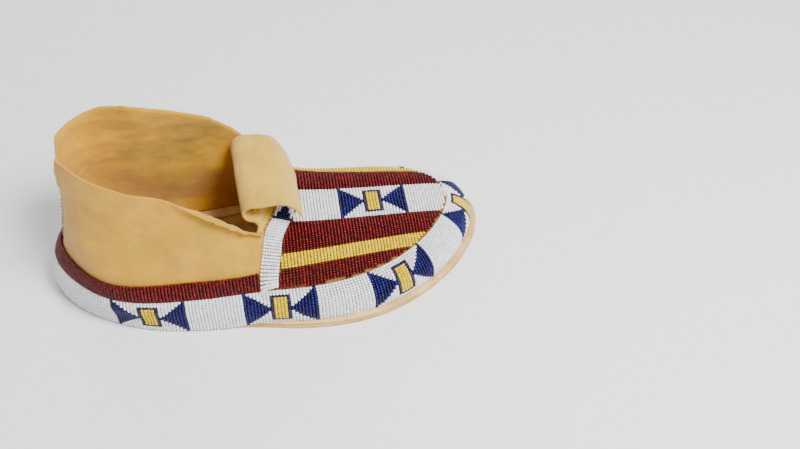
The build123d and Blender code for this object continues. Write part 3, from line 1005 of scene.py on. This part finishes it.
def bezier(a, b, c, d, n):
    t = np.linspace(0, 1, n)[:, None]
    a, b, c, d = (np.array(q, float) for q in (a, b, c, d))
    return (1 - t) ** 3 * a + 3 * (1 - t) ** 2 * t * b + 3 * (1 - t) * t**2 * c + t**3 * d


def tongue_profile(side):
    """The tongue's line in X and Z at one place across its width, side from -1 to 1."""
    widen = 5 * MM * max(0.0, -side) ** 3
    y = TONGUE_Y + side * TONGUE_HALF
    skew = -side * 2.0 * MM
    x0 = float(throat_line(y - widen)) + 1.5 * MM
    point, _ = drop(x0 + 1.5 * MM, y - widen, THROAT_SEARCH)
    z0 = point[2] + 1.2 * MM
    droop = (5.0 * MM) * max(0.0, -side) ** 2 + (0.8 * MM) * max(0.0, side) ** 2
    rear = (roll_x + skew - 2.5 * MM, roll_z - 8.6 * MM - 0.2 * droop)
    lower = bezier((x0, z0), (x0 - 6 * MM, z0 + 1.5 * MM), (rear[0] + 7 * MM, rear[1]), rear, 30)
    angles = np.linspace(math.radians(262), math.radians(92), 40)
    radius = ROLL_RADIUS + 1.2 * MM * np.sin((angles - math.radians(92)) * 0.9) ** 2
    arc = np.stack([roll_x + skew + radius * np.cos(angles), roll_z + radius * np.sin(angles)], 1)
    arc[:, 1] -= droop * np.linspace(0.3, 1, 40)
    top = arc[-1]
    tip = (tip_high.x - 0.5 * MM + skew - 2 * MM * max(0.0, side) ** 2, tip_low.z + 2.4 * MM)
    over = (top[0] + 15 * MM, top[1] + 1.5 * MM)
    above_tip = (tip[0] - 5 * MM, tip[1] + 13 * MM)
    upper = bezier(top, over, above_tip, tip, 60)
    line = np.vstack([lower[:-1], arc[:-1], upper])
    run = np.concatenate([[0], np.cumsum(np.linalg.norm(np.diff(line, axis=0), axis=1))])
    at = np.linspace(0, run[-1], TONGUE_ROWS)
    xs, zs = (np.interp(at, run, line[:, k]) for k in (0, 1))
    kernel = np.hanning(7)
    kernel /= kernel.sum()
    for values in (xs, zs):
        values[3:-3] = np.convolve(values, kernel, "valid")
    back = widen * (1 - smoothstep(np.linspace(0, 1, TONGUE_ROWS), 0.02, 0.26))
    return xs, zs, y - back


sides = np.linspace(-1, 1, TONGUE_COLUMNS)
tongue = np.zeros((TONGUE_COLUMNS, TONGUE_ROWS, 3))
for i, side in enumerate(sides):
    xs, zs, y = tongue_profile(side)
    tongue[i, :, 0], tongue[i, :, 1], tongue[i, :, 2] = xs, y, zs
ripple = smooth_noise(tongue, 30.0, 9)
fine_ripple = smooth_noise(tongue, 90.0, 11)
tu = np.gradient(tongue, axis=0)
tv = np.gradient(tongue, axis=1)
tongue_normal = np.cross(tv, tu)
tongue_normal /= np.linalg.norm(tongue_normal, axis=-1, keepdims=True)
free = smoothstep(np.linspace(0, 1, TONGUE_ROWS), 0.15, 0.4)[None]
tongue = tongue + tongue_normal * ((ripple * 0.9 + fine_ripple * 0.3) * MM * free)[..., None]
edge_wave = smooth_noise(tongue, 45.0, 12)
tongue[..., 1] += edge_wave * 1.2 * MM * np.abs(sides)[:, None] ** 4
tongue[..., 0] += edge_wave * 0.9 * MM * (np.linspace(0, 1, TONGUE_ROWS)[None] ** 6)
TONGUE_THICK = 1.5 * MM
upper_face = tongue + tongue_normal * TONGUE_THICK / 2
lower_face = tongue - tongue_normal * TONGUE_THICK / 2
verts = np.vstack([upper_face.reshape(-1, 3), lower_face.reshape(-1, 3)])
faces = sheet_faces(TONGUE_COLUMNS, TONGUE_ROWS, True)
tongue_piece = mesh_object("tongue_hide", verts, faces, TONGUE_HIDE)

# ---------------------------------------------------------------- stitches


def tube(path, radius, segments=7):
    """A round thread along a short path, closed at its ends."""
    path = np.array(path, float)
    verts, faces = [], []
    tangent = np.gradient(path, axis=0)
    for i, (p, t) in enumerate(zip(path, tangent)):
        t = Vector(t).normalized()
        side = t.orthogonal().normalized()
        other = t.cross(side)
        shrink = 0.55 if i in (0, len(path) - 1) else 1.0
        for k in range(segments):
            a = 2 * math.pi * k / segments
            offset = (side * math.cos(a) + other * math.sin(a)) * radius * shrink
            verts.append(tuple(Vector(p) + offset))
    for i in range(len(path) - 1):
        for k in range(segments):
            a, b = i * segments + k, i * segments + (k + 1) % segments
            faces.append((a, b, b + segments, a + segments))
    faces.append(tuple(range(segments - 1, -1, -1)))
    last = (len(path) - 1) * segments
    faces.append(tuple(range(last, last + segments)))
    return verts, faces


def thread_piece(name, paths, radius):
    verts, faces = [], []
    for path in paths:
        v, f = tube(path, radius)
        faces.extend(tuple(index + len(verts) for index in face) for face in f)
        verts.extend(v)
    return mesh_object(name, verts, faces, SINEW)


heel_low, heel_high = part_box("heel_seam_stitches")
HEEL_STITCHES = 11
paths = []
for k in range(HEEL_STITCHES):
    z = heel_low.z + (heel_high.z - heel_low.z) * (k + 0.5) / HEEL_STITCHES
    h = (z - base_z) / (collar_z - base_z)
    path = []
    for t in np.linspace(-1, 1, 7):
        p, _, up, normal = frames(t * 0.0034, h)
        path.append(p + up * 0.5 * MM * t - normal * (0.75 - 1.1 * (1 - t * t)) * MM * 0.8)
    paths.append(path)
heel_stitches = thread_piece("heel_stitches", paths, 0.38 * MM)

paths = []
TONGUE_STITCH = 3.4 * MM
stitch_count = int(2 * TONGUE_HALF / TONGUE_STITCH)
for k in range(stitch_count):
    y = TONGUE_Y - TONGUE_HALF + (k + 0.5) * 2 * TONGUE_HALF / stitch_count
    path = []
    for t in np.linspace(-0.5, 0.5, 7):
        yy = y + t * 2.0 * MM
        x = float(throat_line(yy)) + 1.9 * MM
        point, normal = drop(x, yy, THROAT_SEARCH)
        path.append(point + normal * (2.35 - 1.3 * (2 * t) ** 2) * MM)
    paths.append(path)
tongue_stitches = thread_piece("tongue_stitches", paths, 0.36 * MM)

# ---------------------------------------------------------------- bodies
BEND_BELOW = 9 * MM  # bend_points puts its first point this far below the bend line
BEND_ABOVE = 26 * MM  # and its second this far above it


def bend_points(joint):
    """Points below and above an ankle flap's bend line, square to it."""
    place, axis = Vector(joint["pos_m"]), Vector(joint["axis"])
    upward = Vector((-axis.z, 0, axis.x)) * (1 if axis.x > 0 else -1)
    return place - upward * BEND_BELOW, place + upward * BEND_ABOVE


for piece, side in ((lateral_hide, "lateral"), (medial_hide, "medial")):
    start, end = bend_points(joints[f"{side}_flap_bend"])
    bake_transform(piece)
    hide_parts(f"quarter_{side}", f"ankle_flap_{side}")
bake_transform(tongue_piece)
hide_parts("tongue_base", "tongue_flap")
shoe_pieces = (
    (heel_stitches, "heel_seam_stitches", "thread"),
    (tongue_stitches, "tongue_seam_stitches", "thread"),
    (sole_piece, "outsole", "rawhide"),
    (welt_piece, "welt", "welt_leather"),
    (vamp_hide, "vamp", "upper_leather"),
)
for piece, cad, slot in shoe_pieces:
    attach(piece, "shoe")
    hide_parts(cad)

# ---------------------------------------------------------------- studio
floor_material, _, floor_shader = new_material("paper_floor")
floor_shader.inputs["Base Color"].default_value = (0.92, 0.92, 0.92, 1)
floor_shader.inputs["Roughness"].default_value = 0.9
floor = mesh_object(
    "floor", [(-4, -4, 0), (4, -4, 0), (4, 4, 0), (-4, 4, 0)], [(0, 1, 2, 3)], floor_material
)
world = bpy.data.worlds.new("studio")
bpy.context.scene.world = world
world.use_nodes = True
world.node_tree.nodes["Background"].inputs["Color"].default_value = (1, 1, 1, 1)
world.node_tree.nodes["Background"].inputs["Strength"].default_value = 0.55


def area_light(name, place, target, size, power):
    data = bpy.data.lights.new(name, "AREA")
    data.shape = "DISK"
    data.size = size
    data.energy = power
    light = bpy.data.objects.new(name, data)
    bpy.context.scene.collection.objects.link(light)
    light.location = place
    direction_ = Vector(target) - Vector(place)
    light.rotation_euler = direction_.to_track_quat("-Z", "Y").to_euler()
    return light


area_light("key", (0.45, -0.5, 1.0), (0, 0, 0.03), 0.45, 25)
area_light("fill", (0.9, -0.7, 0.6), (0, 0, 0.03), 0.9, 5)
area_light("rim", (-0.3, 1.0, 0.8), (0, 0, 0.04), 0.7, 6)

camera_data = bpy.data.cameras.new("camera")
camera_data.lens = 45
camera_data.sensor_width = 36
camera_data.clip_start = 0.01
camera = bpy.data.objects.new("camera", camera_data)
bpy.context.scene.collection.objects.link(camera)
HEADING = 0.16  # radians, towards the toe
PITCH = math.radians(44.1)  # down from level
camera.location = (8.4 * MM, -445.2 * MM, 455.8 * MM)
look = Vector((
    math.sin(HEADING) * math.cos(PITCH),
    math.cos(HEADING) * math.cos(PITCH),
    -math.sin(PITCH),
))  # fmt: skip
camera.rotation_euler = look.to_track_quat("-Z", "Y").to_euler()
bpy.context.scene.camera = camera
